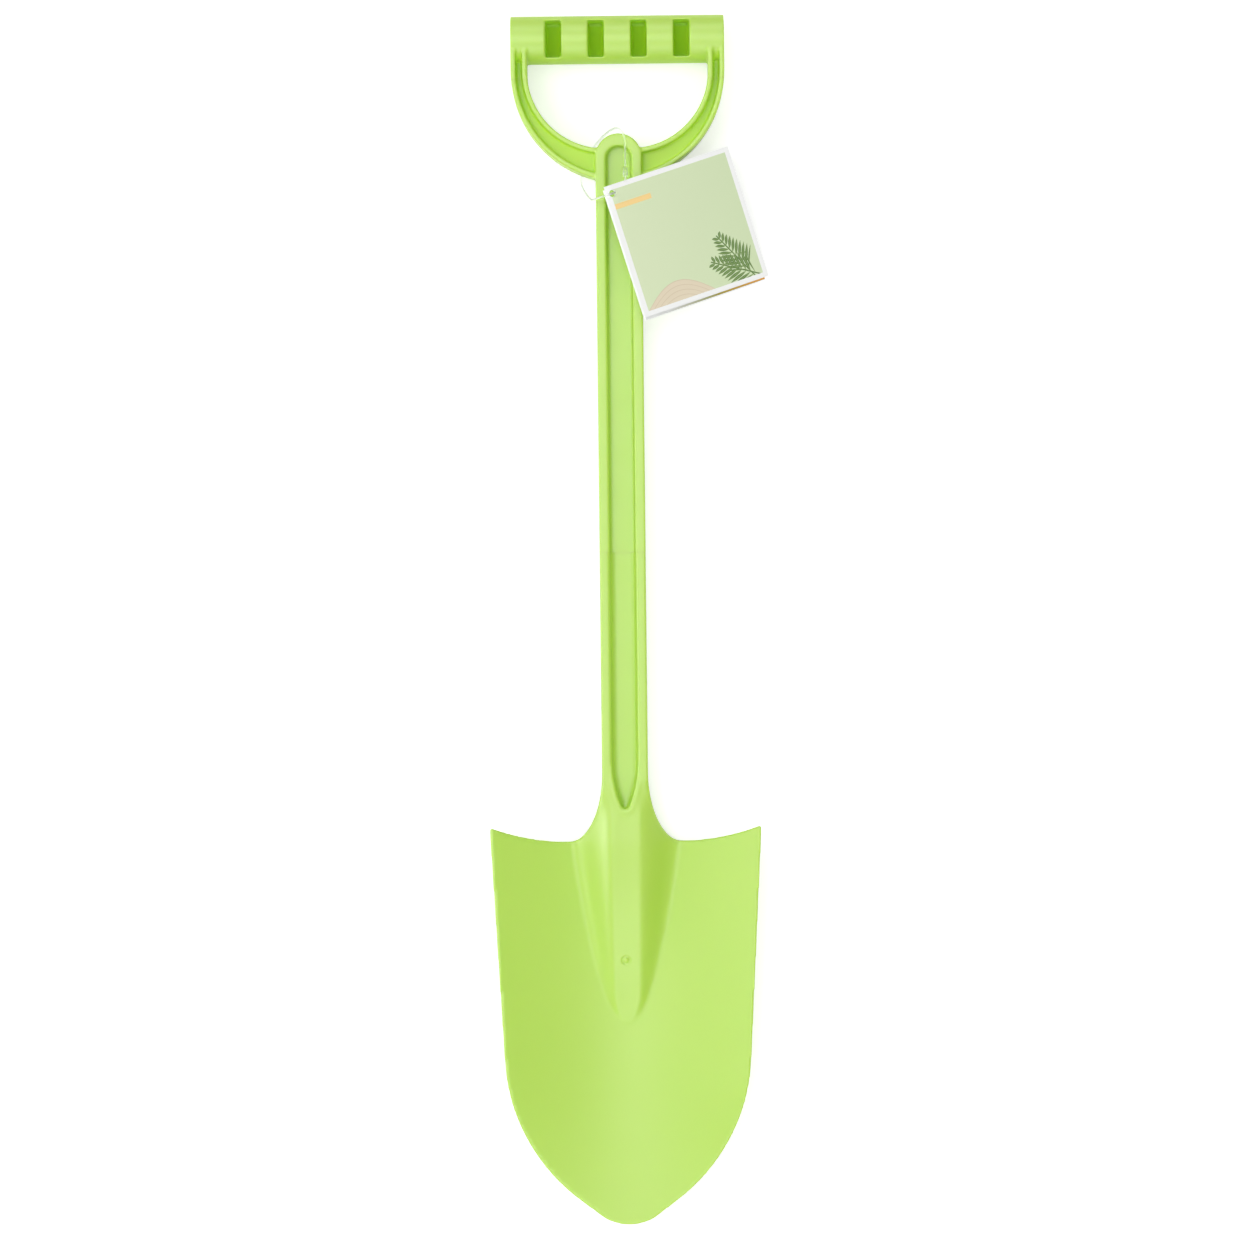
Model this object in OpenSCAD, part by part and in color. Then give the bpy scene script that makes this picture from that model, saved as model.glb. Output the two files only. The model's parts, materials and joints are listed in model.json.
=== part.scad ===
// Children's sand shovel: a one-piece moulded beach spade, with a folded card tag on a clear loop.
// It lies face up. X runs across the blade, +Y points to the grip and +Z is the front.
// The origin is on the surface that it lies on, under the middle of its length.
// The moulding is one piece on the real shovel. Its regions are separate solids that meet face to face.

/* [Overall] */
// Length from the tip of the blade to the top of the grip
overall_l = 580; // [540:5:640]
// Thickness of the moulding where it is a plain sheet
wall = 2.5; // [2:0.1:3]

/* [Grip] */
// Length of the grip bar
grip_l = 102; // [98:1:116]
// Diameter of the grip bar
grip_d = 23; // [22:0.5:26]
// Width of each core pocket along the bar
pocket_w = 7.6; // [5:0.1:8]
// Height of each core pocket across the bar
pocket_h = 18; // [12:0.5:18.5]
// Distance from one front pocket to the next
pocket_pitch = 20.4; // [18:0.2:22]
// Depth of the core pockets
pocket_depth = 16; // [8:0.5:17]
// Number of pockets in the front of the bar
front_pockets = 4; // [2:1:4]

/* [Yoke arms] */
// Radius of the outer side of each arm
arm_outer_r = 52.7; // [50:0.1:56]
// Radius of the inner side of each arm
arm_inner_r = 37; // [34:0.1:38]
// Width of an arm where it meets the grip
arm_top_w = 7.8; // [6:0.1:8.2]
// Distance from the top of the grip down to where the arms start to bend
arm_bend_drop = 27; // [24:0.5:30]
// Depth of the arms beside the shaft, front to back
arm_depth = 16; // [12:0.5:17]
// Depth of the arms where they meet the grip
arm_grip_depth = 21.4; // [17:0.1:21.8]
// Distance from the top of the grip down to where the arms start to get deeper
arm_deepen_drop = 50; // [40:1:52]
// Width of the flange on each side of an arm's groove
arm_flange = 2.3; // [2:0.1:2.7]

/* [Shaft] */
// Width of the shaft
shaft_w = 22; // [20:0.5:24]
// Depth of the shaft, front to back
shaft_depth = 17.5; // [16:0.5:20]
// Width of the recess in the front of the shaft
recess_w = 12; // [8:0.5:14]
// Depth of the recess
recess_depth = 5; // [3:0.25:6]
// Height of the shaft's round top above the lowest point of the D opening
boss_rise = 7; // [4:0.2:10]
// Width of the rim between the recess and the round top
recess_rim = 5.6; // [4:0.2:8]
// Length of the pointed lower end of the recess
lancet_l = 24; // [18:0.5:40]
// Radius of the round end of the point
lancet_round = 1.8; // [1:0.1:2.4]
// Distance from the point of the recess to the blade's top edge
lancet_gap = 15.9; // [14:0.1:24]
// Distance from one stiffening rib to the next in the back of the shaft
rib_pitch = 42; // [30:1:60]
// Thickness of a stiffening rib
rib_t = 1.8; // [1.2:0.1:3]
// Depth of the back edge of a rib below the back of the shaft
rib_inset = 1.5; // [0.5:0.1:3]

/* [Socket] */
// Length of the flare between the shaft and the blade's top edge
flare_l = 33.3; // [28:0.1:40]
// Width of the raised frog at the blade's top edge
frog_w = 54; // [46:0.5:60]
// Length of the frog down the blade
frog_l = 88; // [70:1:100]
// Half-width of the frog's crest
frog_crest = 6.5; // [5:0.1:8]

/* [Blade] */
// Length of the blade from its top edge to its tip
blade_l = 184.7; // [170:0.1:200]
// Width of the blade across its top corners
blade_w = 130; // [120:1:140]
// Height of the top corners above the top edge beside the frog
corner_rise = 6.1; // [3:0.1:9]
// Lean of each side towards the tip, in degrees
side_lean = 3.1; // [2:0.1:5]
// Radius of the shoulder between a side and the nose
shoulder_r = 92; // [70:1:100]
// Lean of each side of the nose, in degrees
nose_lean = 52.4; // [50:0.1:54]
// Radius of the tip
tip_r = 22.6; // [16:0.2:28]
// Slope that the blade's two wings tend to, in degrees
dish_angle = 26.5; // [22:0.5:29]
// How far the round of the keel reaches out into each wing
keel_w = 45; // [35:1:55]
// Length at the tip over which the dish gets shallower
nose_l = 75; // [50:1:90]

/* [Card tag] */
// Side of the square tag
tag_w = 65; // [60:1:68]
// Thickness of each leaf of the tag
leaf_t = 0.5; // [0.3:0.05:0.6]
// Space between the two leaves at the fold
fold_gap = 0.5; // [0.4:0.05:0.8]
// Diameter of the punched hole
tag_hole_d = 3.5; // [3.2:0.1:3.8]
// Distance from the fold to the middle of the hole
hole_from_fold = 3.2; // [3:0.1:3.6]
// Distance from the front leaf's top edge to the middle of the hole
hole_from_top = 4.1; // [3.8:0.1:4.3]
// Distance that the back leaf sits below the front leaf
leaf_stagger = 1.5; // [1.4:0.1:1.7]
// Turn of the tag from square to the shaft, in degrees
tag_turn = 18.5; // [16:0.1:20]
// Angle between the two leaves, in degrees
leaf_open = 5; // [4.5:0.5:10]
// Tilt of the tag, down to the right, in degrees
tag_tilt = 21; // [18:0.1:22]
// Distance from the round top of the shaft down to the hole
hole_drop = 29.7; // [29:0.1:31]
// Distance from the middle of the shaft out to the hole
hole_out = 3.5; // [3.2:0.1:3.8]
// Distance from the middle of the shaft out to where the tag just clears the right arm's front
rest_out = 23; // [22:0.5:26]

/* [Clear loop] */
// Diameter of the filament
filament_d = 1; // [0.7:0.05:1]
// Diameter of the lock
lock_d = 2.4; // [1.6:0.1:2.4]
// Length of the lock
lock_l = 5; // [4:0.1:5]

/* [Hidden] */

moulding_green = [0.76, 0.92, 0.47];
shade_green = [0.62, 0.83, 0.28];
card_green = [0.82, 0.88, 0.71];
card_white = [0.95, 0.95, 0.92];
clear_plastic = [0.93, 0.96, 0.97];

// One overrun for every cut, and the space between pieces that only rest on each other
cut = 1;
clearance = 0.3;

// Levels along the length
top_y = overall_l / 2;
tip_y = -overall_l / 2;
grip_y = top_y - grip_d / 2;
bend_y = top_y - arm_bend_drop;
deepen_y = top_y - arm_deepen_drop;
grip_under_y = top_y - grip_d;
boss_top_y = bend_y - arm_inner_r + boss_rise;
boss_y = boss_top_y - shaft_w / 2;
shoulder_y = tip_y + blade_l;
shaft_end_y = shoulder_y + flare_l;
apex_y = shoulder_y - frog_l;
lancet_y = shoulder_y + lancet_gap + lancet_l;

// Levels from the surface up: the shaft and the arms are centred on the grip's axis
grip_z = grip_d / 2;
shaft_back = grip_z - shaft_depth / 2;
shaft_front = grip_z + shaft_depth / 2;
recess_floor = shaft_front - recess_depth;
web_back = recess_floor - wall;
arm_back = grip_z - arm_depth / 2;
arm_front = grip_z + arm_depth / 2;

// Places across the width
outer_arc_x = grip_l / 2 - arm_outer_r;
inner_side_x = grip_l / 2 - arm_top_w;
inner_arc_x = inner_side_x - arm_inner_r;

// Shares that set how the dish flattens, how wide the frog's crest may be and how its flanks end
dish_loss_share = 0.35;
widest_crest_share = 0.58;
inner_crest_share = 0.9;
inner_foot_share = 0.97;
side_share = 0.6;
outer_morph_share = 0.3;
inner_morph_share = 0.55;
frog_fall = 1.3;

// Numbers of faces in the freeform surfaces
side_steps = 20;
shoulder_steps = 10;
nose_steps = 6;
tip_steps = 8;
edge_steps = side_steps + shoulder_steps + nose_steps + tip_steps;
wing_columns = 12;
crease_steps = 16;
flare_steps = 12;
socket_columns = 20;
tube_sides = 8;
route_splits = 2;

function mix(a, b, t) = a + (b - a) * t;
function limit(t) = min(1, max(0, t));
function ease(t) = limit(t) * limit(t) * (3 - 2 * limit(t));
function unit(v) = v / norm(v);

// Front surface of the blade: a wide V with a rounded keel, which gets shallower at the tip
function wing_slope(y) = tan(dish_angle) * (1 - dish_loss_share * ease((tip_y + nose_l - y) / nose_l));
function front_z(x, y) = wall + wing_slope(y) * (norm([x, keel_w]) - keel_w);

// Outline of the right half of the blade: a leaning side, a shoulder arc, the nose and the tip arc
side_in = [-cos(side_lean), sin(side_lean)];
nose_in = [-cos(nose_lean), sin(nose_lean)];
corner = [blade_w / 2, shoulder_y + corner_rise];
tip_centre = [0, tip_y + tip_r];
nose_end = tip_centre - tip_r * nose_in;
side_reach = corner * side_in + shoulder_r;
nose_reach = nose_end * nose_in + shoulder_r;
lines_cross = side_in.x * nose_in.y - side_in.y * nose_in.x;
shoulder_centre = [
    side_reach * nose_in.y - nose_reach * side_in.y,
    side_in.x * nose_reach - nose_in.x * side_reach
] / lines_cross;
side_end = shoulder_centre - shoulder_r * side_in;
nose_start = shoulder_centre - shoulder_r * nose_in;
edge_points = [
    for (i = [0 : side_steps - 1]) mix(corner, side_end, i / side_steps),
    for (i = [0 : shoulder_steps - 1])
        let (a = mix(side_lean, nose_lean, i / shoulder_steps))
        shoulder_centre + shoulder_r * [cos(a), -sin(a)],
    for (i = [0 : nose_steps - 1]) mix(nose_start, nose_end, i / nose_steps),
    for (i = [0 : tip_steps])
        let (a = mix(nose_lean, 90, i / tip_steps))
        tip_centre + tip_r * [cos(a), -sin(a)]
];

// Crease between the frog and the right wing, a parabola, and the line down the keel that follows it
function crease(share) = [
    frog_w / 2 * (1 - share),
    shoulder_y - frog_l * (1 - (1 - share) * (1 - share))
];
keel_end_y = tip_y + tip_r;
root_points = [
    for (i = [0 : crease_steps]) crease(i / crease_steps),
    for (i = [crease_steps + 1 : edge_steps])
        [0, mix(apex_y, keel_end_y, (i - crease_steps) / (edge_steps - crease_steps))]
];

// A point of the right wing in plan: across from the crease or keel to the outline
function wing_plan(i, j) =
    let (
        t = j / wing_columns,
        fade = 1 - i / edge_steps,
        p = mix(root_points[i], edge_points[i], t)
    )
    [p.x, p.y + corner_rise * (t * t - t) * fade * fade * fade];

function tri(a, b, c) = a == b || b == c || a == c ? [] : [[a, b, c]];
function quad(a, b, c, d) = concat(tri(a, b, c), tri(a, c, d));
function flip(faces) = [for (f = faces) [f[2], f[1], f[0]]];
function joined(lists) = [for (l = lists) for (f = l) f];

// Points of the blade: both sheets of the right wing and then of the left wing
wing_row = wing_columns + 1;
wing_count = wing_row * (edge_steps + 1);
wing_points = [
    for (side = [1, -1]) for (drop = [0, wall]) for (i = [0 : edge_steps]) for (j = [0 : wing_columns])
        let (p = wing_plan(i, j))
        [side * p.x, p.y, front_z(p.x, p.y) - drop]
];
// The keel and the last row are shared by the two wings
function on_keel(i, j) = i == edge_steps || (j == 0 && i >= crease_steps);
function wing_at(left, back, i, j) =
    ((left && !on_keel(i, j) ? 2 : 0) + (back ? 1 : 0)) * wing_count + i * wing_row + j;
function wing_faces(left) = joined([
    for (i = [0 : edge_steps - 1]) for (j = [0 : wing_columns - 1])
        quad(wing_at(left, false, i, j + 1), wing_at(left, false, i + 1, j + 1),
            wing_at(left, false, i + 1, j), wing_at(left, false, i, j)),
    for (i = [0 : edge_steps - 1]) for (j = [0 : wing_columns - 1])
        quad(wing_at(left, true, i + 1, j), wing_at(left, true, i + 1, j + 1),
            wing_at(left, true, i, j + 1), wing_at(left, true, i, j)),
    for (i = [0 : edge_steps - 1])
        quad(wing_at(left, false, i + 1, wing_columns), wing_at(left, false, i, wing_columns),
            wing_at(left, true, i, wing_columns), wing_at(left, true, i + 1, wing_columns)),
    for (i = [0 : crease_steps - 1])
        quad(wing_at(left, true, i + 1, 0), wing_at(left, true, i, 0),
            wing_at(left, false, i, 0), wing_at(left, false, i + 1, 0)),
    for (j = [0 : wing_columns - 1])
        quad(wing_at(left, false, 0, j + 1), wing_at(left, false, 0, j),
            wing_at(left, true, 0, j), wing_at(left, true, 0, j + 1))
]);

// The dished blade, without the frog that rises in its upper middle
module blade() {
    color(moulding_green)
        polyhedron(wing_points, concat(wing_faces(false), flip(wing_faces(true))));
}

// Rows of the socket: down the flare, then down the frog to its point
socket_rows = flare_steps + crease_steps;
function flare(share) = [
    mix(shaft_w / 2, frog_w / 2, 1 - cos(90 * share)),
    shaft_end_y - flare_l * sin(90 * share)
];
function socket_row(r) = r <= flare_steps ? flare(r / flare_steps) : crease((r - flare_steps) / crease_steps);
function frog_h(y) = (shaft_front - wall) * (1 - pow(limit((shoulder_y - y) / frog_l), frog_fall));

// The section turns from the shaft's box into the frog's rounded ridge along the flare
function box_x(w) = abs(w) <= side_share ? w / side_share : sign(w);
function box_rise(w) = abs(w) <= side_share ? 1 : (1 - abs(w)) / (1 - side_share);
function crest_share(half) = min(frog_crest / max(half, 1), widest_crest_share);
function ridge(w, crest, foot) = 1 - ease((abs(w) - crest) / (foot - crest));
function morph(r, start) = ease((r / flare_steps - start) / (1 - start));
function socket_front(r, w) =
    let (
        p = socket_row(r),
        b = morph(r, outer_morph_share),
        x = p.x * mix(box_x(w), w, b),
        box_z = shaft_back + shaft_depth * box_rise(w),
        ridge_z = front_z(x, p.y) + frog_h(p.y) * ridge(w, crest_share(p.x), 1)
    )
    [x, p.y, mix(box_z, ridge_z, b)];
function socket_back(r, w) =
    let (
        p = socket_row(r),
        b = morph(r, inner_morph_share),
        x = mix((p.x - wall) * box_x(w), p.x * w, b),
        box_z = shaft_back + (web_back - shaft_back) * box_rise(w),
        crest = inner_crest_share * crest_share(p.x),
        ridge_z = front_z(x, p.y) - wall + frog_h(p.y) * ridge(w, crest, inner_foot_share)
    )
    [x, p.y, mix(box_z, ridge_z, b)];

socket_count = (socket_columns + 1) * socket_rows;
socket_points = [
    for (r = [0 : socket_rows - 1]) for (k = [0 : socket_columns]) socket_front(r, 2 * k / socket_columns - 1),
    for (r = [0 : socket_rows - 1]) for (k = [0 : socket_columns]) socket_back(r, 2 * k / socket_columns - 1),
    [0, apex_y, front_z(0, apex_y)],
    [0, apex_y, front_z(0, apex_y) - wall]
];
function socket_at(back, r, k) =
    r == socket_rows ? 2 * socket_count + (back ? 1 : 0)
    : (back ? socket_count : 0) + r * (socket_columns + 1) + k;
socket_faces = joined([
    for (r = [0 : socket_rows - 1]) for (k = [0 : socket_columns - 1])
        quad(socket_at(false, r, k), socket_at(false, r, k + 1),
            socket_at(false, r + 1, k + 1), socket_at(false, r + 1, k)),
    for (r = [0 : socket_rows - 1]) for (k = [0 : socket_columns - 1])
        quad(socket_at(true, r + 1, k), socket_at(true, r + 1, k + 1),
            socket_at(true, r, k + 1), socket_at(true, r, k)),
    for (r = [0 : socket_rows - 1])
        quad(socket_at(false, r + 1, socket_columns), socket_at(false, r, socket_columns),
            socket_at(true, r, socket_columns), socket_at(true, r + 1, socket_columns)),
    for (r = [0 : socket_rows - 1])
        quad(socket_at(true, r + 1, 0), socket_at(true, r, 0),
            socket_at(false, r, 0), socket_at(false, r + 1, 0)),
    for (k = [0 : socket_columns - 1])
        quad(socket_at(false, 0, k + 1), socket_at(false, 0, k),
            socket_at(true, 0, k), socket_at(true, 0, k + 1))
]);

// The hollow frog, from the end of the shaft down into the blade
module socket() {
    color(moulding_green)
        difference() {
            polyhedron(socket_points, socket_faces);
            recess();
        }
}

// Outline of the recess from the front: round at the top, and at the bottom a lancet whose two arcs
// run into a small round end
module recess_plan() {
    half = recess_w / 2;
    recess_top = boss_top_y - recess_rim - half;
    fall = lancet_l - lancet_round;
    lancet_r = (half * half + fall * fall - lancet_round * lancet_round) / (recess_w - 2 * lancet_round);
    arc_l = fall * lancet_r / (lancet_r - lancet_round);
    translate([-half, lancet_y])
        square([recess_w, recess_top - lancet_y]);
    translate([0, recess_top])
        circle(half, $fn = 64);
    intersection() {
        translate([half - lancet_r, lancet_y])
            circle(lancet_r, $fn = 256);
        translate([lancet_r - half, lancet_y])
            circle(lancet_r, $fn = 256);
        translate([-half, lancet_y - arc_l])
            square([recess_w, arc_l]);
    }
    translate([0, lancet_y - fall])
        circle(lancet_round, $fn = 48);
}

module recess() {
    translate([0, 0, recess_floor])
        linear_extrude(recess_depth + cut)
            recess_plan();
}

// Outline of the shaft and its round top from the front
module shaft_plan() {
    translate([-shaft_w / 2, shaft_end_y])
        square([shaft_w, boss_y - shaft_end_y]);
    translate([0, boss_y])
        circle(shaft_w / 2, $fn = 96);
}

// Channel in the back of the shaft, open to the hollow of the socket, with ribs across it
module back_channel() {
    channel_w = shaft_w - 2 * wall;
    channel_l = boss_y - shaft_end_y;
    ribs = floor(channel_l / rib_pitch);
    difference() {
        translate([-channel_w / 2, shaft_end_y - cut, shaft_back - cut])
            cube([channel_w, channel_l + cut, web_back - shaft_back + cut]);
        for (i = [1 : ribs])
            translate([-channel_w / 2 - cut, shaft_end_y + i * rib_pitch - rib_t / 2, shaft_back + rib_inset])
                cube([channel_w + 2 * cut, rib_t, web_back - shaft_back]);
    }
}

module shaft() {
    color(moulding_green)
        difference() {
            translate([0, 0, shaft_back])
                linear_extrude(shaft_depth)
                    shaft_plan();
            recess();
            back_channel();
        }
}

// Outline of the right arm, drawn in by an inset on both sides
module arm_curve(inset) {
    difference() {
        intersection() {
            translate([outer_arc_x, bend_y])
                circle(arm_outer_r - inset, $fn = 180);
            translate([0, bend_y - arm_outer_r - cut])
                square([grip_l / 2 + cut, arm_outer_r + cut]);
        }
        translate([inner_arc_x, bend_y])
            circle(arm_inner_r + inset, $fn = 180);
    }
}

// Outline of the right arm, or of its groove, up to the middle of the grip
module arm_plan(inset) {
    arm_curve(inset);
    translate([inner_side_x + inset, bend_y])
        square([arm_top_w - 2 * inset, grip_y - bend_y]);
}

// Side view of an arm, which gets deeper towards the grip, pulled out across the right half
module arm_side() {
    low_y = bend_y - arm_outer_r - cut;
    rotate([90, 0, 90])
        linear_extrude(grip_l / 2 + cut)
            polygon([
                [low_y, arm_back], [deepen_y, arm_back],
                [grip_under_y, grip_z - arm_grip_depth / 2], [grip_y, grip_z - arm_grip_depth / 2],
                [grip_y, grip_z + arm_grip_depth / 2], [grip_under_y, grip_z + arm_grip_depth / 2],
                [deepen_y, arm_front], [low_y, arm_front]
            ]);
}

// The right arm: an I-section with a groove in the front and in the back. Its web is level with the shaft's
module arm() {
    difference() {
        intersection() {
            linear_extrude(grip_d)
                arm_plan(0);
            arm_side();
        }
        translate([0, 0, recess_floor])
            linear_extrude(grip_d - recess_floor)
                arm_plan(arm_flange);
        linear_extrude(web_back)
            arm_plan(arm_flange);
        translate([0, 0, arm_back - cut])
            linear_extrude(arm_depth + 2 * cut)
                shaft_plan();
        grip_bar();
    }
}

module right_arm() {
    color(shade_green)
        arm();
}

module left_arm() {
    color(shade_green)
        mirror([1, 0, 0])
            arm();
}

module grip_bar() {
    translate([-grip_l / 2, grip_y, grip_z])
        rotate([0, 90, 0])
            cylinder(h = grip_l, d = grip_d, $fn = 128);
}

// A row of core pockets, from the level z up
module pockets(count, z) {
    for (i = [0 : count - 1])
        translate([(i - (count - 1) / 2) * pocket_pitch - pocket_w / 2, grip_y - pocket_h / 2, z])
            cube([pocket_w, pocket_h, pocket_depth + cut]);
}

// The grip, cored from the front and from the back in turn
module grip() {
    color(moulding_green)
        difference() {
            grip_bar();
            pockets(front_pockets, grip_d - pocket_depth);
            pockets(front_pockets - 1, -cut);
        }
}

// The tag is held at its hole by the loop, and slopes down past the outer edge of the right arm
hole_place = [
    -hole_out,
    boss_top_y - hole_drop,
    arm_front + clearance + (rest_out + hole_out) * tan(tag_tilt)
];

module on_tag() {
    translate(hole_place)
        rotate([0, tag_tilt, 0])
            rotate([0, 0, tag_turn])
                children();
}

// One leaf, with its punched hole at the origin and its fold on the left
module leaf(top) {
    difference() {
        translate([-hole_from_fold, top - tag_w, 0])
            cube([tag_w, tag_w, leaf_t]);
        translate([0, 0, -cut])
            cylinder(h = leaf_t + 2 * cut, d = tag_hole_d, $fn = 48);
    }
}

module tag_back_leaf() {
    color(card_white)
        on_tag()
            leaf(hole_from_top - leaf_stagger);
}

// The front leaf turns about a line half way between the leaves at the fold
module tag_front_leaf() {
    hinge_z = leaf_t + fold_gap / 2;
    color(card_green)
        on_tag()
            translate([-hole_from_fold, 0, hinge_z])
                rotate([0, -leaf_open, 0])
                    translate([hole_from_fold, 0, fold_gap / 2])
                        leaf(hole_from_top);
}

// Route of the filament's middle: from the lock under the tag, up through the hole, over the fold,
// down the left side of the shaft, behind the left arm and back over the round top to the lock
lock_low = [3.2, 211.9, 21.6];
route = [
    lock_low,
    [3.2, 211, 21.6],
    [2.8, 209.2, 21.5],
    [1.6, 207.3, 21.4],
    [-0.6, 205.4, 21.6],
    [-2.9, 204, 22.8],
    [-4.2, 203.4, 25],
    [-4.2, 203.3, 27.6],
    [-3.5, 203.3, 30],
    [-2.8, 203.3, 31.9],
    [-2.2, 203.3, 33.6],
    [-2.4, 203.1, 35.3],
    [-3.9, 202.6, 36.6],
    [-6.1, 201.9, 36.8],
    [-8.3, 201.3, 35.7],
    [-10.1, 200.9, 33.6],
    [-11.4, 200.7, 31],
    [-12.2, 200.7, 28],
    [-12.8, 200.9, 24.8],
    [-13.5, 201.6, 21.1],
    [-14.5, 202.9, 17.3],
    [-15.7, 204.9, 13.2],
    [-17, 207.6, 8.4],
    [-17.8, 210.4, 4],
    [-17.8, 213.4, 1.8],
    [-17, 217.5, 1.5],
    [-15.4, 221.8, 1.5],
    [-13.4, 225.6, 1.9],
    [-11.2, 228.6, 4],
    [-8.6, 231.3, 8],
    [-5.6, 233.7, 12.4],
    [-2.6, 235.2, 16.6],
    [-0.2, 235.3, 20],
    [1.6, 233.9, 21.6],
    [2.8, 231, 21.6],
    [3.2, 227, 21.5],
    [3.2, 222, 21.5],
    [3.2, 218.4, 21.6],
    [3.2, 216.9, 21.6]
];

// A smooth curve through the route's points
last_point = len(route) - 1;
function through(a, b, c, d, t) =
    ((2 * b) + (c - a) * t + (2 * a - 5 * b + 4 * c - d) * t * t + (3 * b - a - 3 * c + d) * t * t * t) / 2;
line = [
    for (i = [0 : last_point - 1]) for (s = [0 : route_splits - 1])
        through(route[max(0, i - 1)], route[i], route[i + 1], route[min(last_point, i + 2)], s / route_splits),
    route[last_point]
];
headings = [
    for (i = [0 : len(line) - 1]) unit(line[min(len(line) - 1, i + 1)] - line[max(0, i - 1)])
];
// A direction square to each heading, carried along the line without twist
ups = [
    for (i = 0, u = [0, 0, 1]; i < len(line);
        i = i + 1, u = i < len(line) ? unit(u - (u * headings[i]) * headings[i]) : u) u
];
ring_points = [
    for (i = [0 : len(line) - 1]) for (k = [0 : tube_sides - 1])
        let (a = 360 * k / tube_sides)
        line[i] + filament_d / 2 * (cos(a) * ups[i] + sin(a) * cross(headings[i], ups[i]))
];
tube_faces = concat(
    [[for (k = [0 : tube_sides - 1]) k]],
    joined([
        for (i = [0 : len(line) - 2]) for (k = [0 : tube_sides - 1])
            let (a = i * tube_sides + k, b = i * tube_sides + (k + 1) % tube_sides)
            quad(a, a + tube_sides, b + tube_sides, b)
    ]),
    [[for (k = [tube_sides - 1 : -1 : 0]) (len(line) - 1) * tube_sides + k]]
);

module tag_loop() {
    color(clear_plastic)
        polyhedron(ring_points, tube_faces);
}

module loop_lock() {
    color(clear_plastic)
        translate(lock_low + [0, lock_l, 0])
            rotate([90, 0, 0])
                cylinder(h = lock_l, d = lock_d, $fn = 48);
}

blade();
socket();
shaft();
left_arm();
right_arm();
grip();
tag_loop();
loop_lock();
tag_back_leaf();
tag_front_leaf();
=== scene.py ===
# %% [markdown]
# # A child's sand shovel
# The real object is one injection moulding in lime green plastic: a dished, pointed blade,
# a hollow frog that runs up into the shaft, a shaft with a long recess in its front, two
# curved arms and a cored D grip. A folded card tag hangs on it by a clear plastic loop.
# The CAD model gives the exact sizes as separate solids with sharp edges. Here the moulding
# becomes one continuous skin with the small radii and blends that a mould gives.

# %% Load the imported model
import json
from math import acos, asin, cos, degrees, exp, hypot, pi, radians, sin, tan

import bmesh
import bpy
from mathutils import Matrix, Vector


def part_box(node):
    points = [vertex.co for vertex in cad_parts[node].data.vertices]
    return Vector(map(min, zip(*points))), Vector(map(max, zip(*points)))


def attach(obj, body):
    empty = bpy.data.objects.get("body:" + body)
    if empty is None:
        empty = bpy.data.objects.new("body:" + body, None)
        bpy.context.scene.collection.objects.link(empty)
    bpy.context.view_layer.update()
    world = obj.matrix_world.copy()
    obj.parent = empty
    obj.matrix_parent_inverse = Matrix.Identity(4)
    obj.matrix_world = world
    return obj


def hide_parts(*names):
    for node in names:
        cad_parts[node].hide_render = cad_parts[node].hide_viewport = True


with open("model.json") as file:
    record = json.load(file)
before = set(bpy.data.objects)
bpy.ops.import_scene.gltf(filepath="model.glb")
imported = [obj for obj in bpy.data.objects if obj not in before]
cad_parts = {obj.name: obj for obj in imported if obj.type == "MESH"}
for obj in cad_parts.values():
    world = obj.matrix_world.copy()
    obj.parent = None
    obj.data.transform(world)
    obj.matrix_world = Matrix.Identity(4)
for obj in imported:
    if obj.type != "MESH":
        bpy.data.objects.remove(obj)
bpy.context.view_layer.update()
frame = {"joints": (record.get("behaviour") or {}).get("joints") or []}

scene = bpy.context.scene
scene.view_settings.view_transform = "Standard"
MM = 0.001

# %% [markdown]
# ## The camera
# The photograph looks straight down on the shovel, which lies face up. One pixel is 0.4788 mm
# at the level of the grip's axis, and the frame is 1260 pixels each way. The shovel is turned
# a little anticlockwise in the frame, so the camera is turned as much clockwise.

# %% Camera
MM_PER_PIXEL = 0.4788
FRAME_PIXELS = 1260
VIEW_DISTANCE = 2400
VIEW_ROLL = radians(0.62)
VIEW_CENTRE = (3.1, -4.1)
GRIP_LEVEL = 11.5
SENSOR = 36

frame_width = MM_PER_PIXEL * FRAME_PIXELS
camera_data = bpy.data.cameras.new("camera")
camera_data.sensor_width = SENSOR
camera_data.lens = SENSOR * VIEW_DISTANCE / frame_width
camera = bpy.data.objects.new("camera", camera_data)
camera.location = Vector((*VIEW_CENTRE, VIEW_DISTANCE + GRIP_LEVEL)) * MM
camera.rotation_euler = (0, 0, -VIEW_ROLL)
scene.collection.objects.link(camera)
scene.camera = camera
print("lens %.1f mm, frame %.0f mm wide" % (camera_data.lens, frame_width))

# %% [markdown]
# ## Small helpers
# All sizes below are in millimetres, as on a drawing. `finished` turns a bmesh into an object
# in metres, and `applied` keeps what the modifiers made.

# %% Helpers
def linked(name, mesh):
    piece = bpy.data.objects.new(name, mesh)
    scene.collection.objects.link(piece)
    return piece


def finished(bm, name):
    """Makes an object in metres from a bmesh in millimetres, with doubles merged and faces outward."""
    bmesh.ops.remove_doubles(bm, verts=bm.verts, dist=1e-4)
    bmesh.ops.dissolve_degenerate(bm, edges=bm.edges, dist=1e-5)
    bmesh.ops.recalc_face_normals(bm, faces=bm.faces)
    bmesh.ops.scale(bm, vec=(MM, MM, MM), verts=bm.verts)
    mesh = bpy.data.meshes.new(name)
    bm.to_mesh(mesh)
    bm.free()
    return linked(name, mesh)


def smoothed(piece):
    """Shades the whole piece smooth."""
    for face in piece.data.polygons:
        face.use_smooth = True


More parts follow.
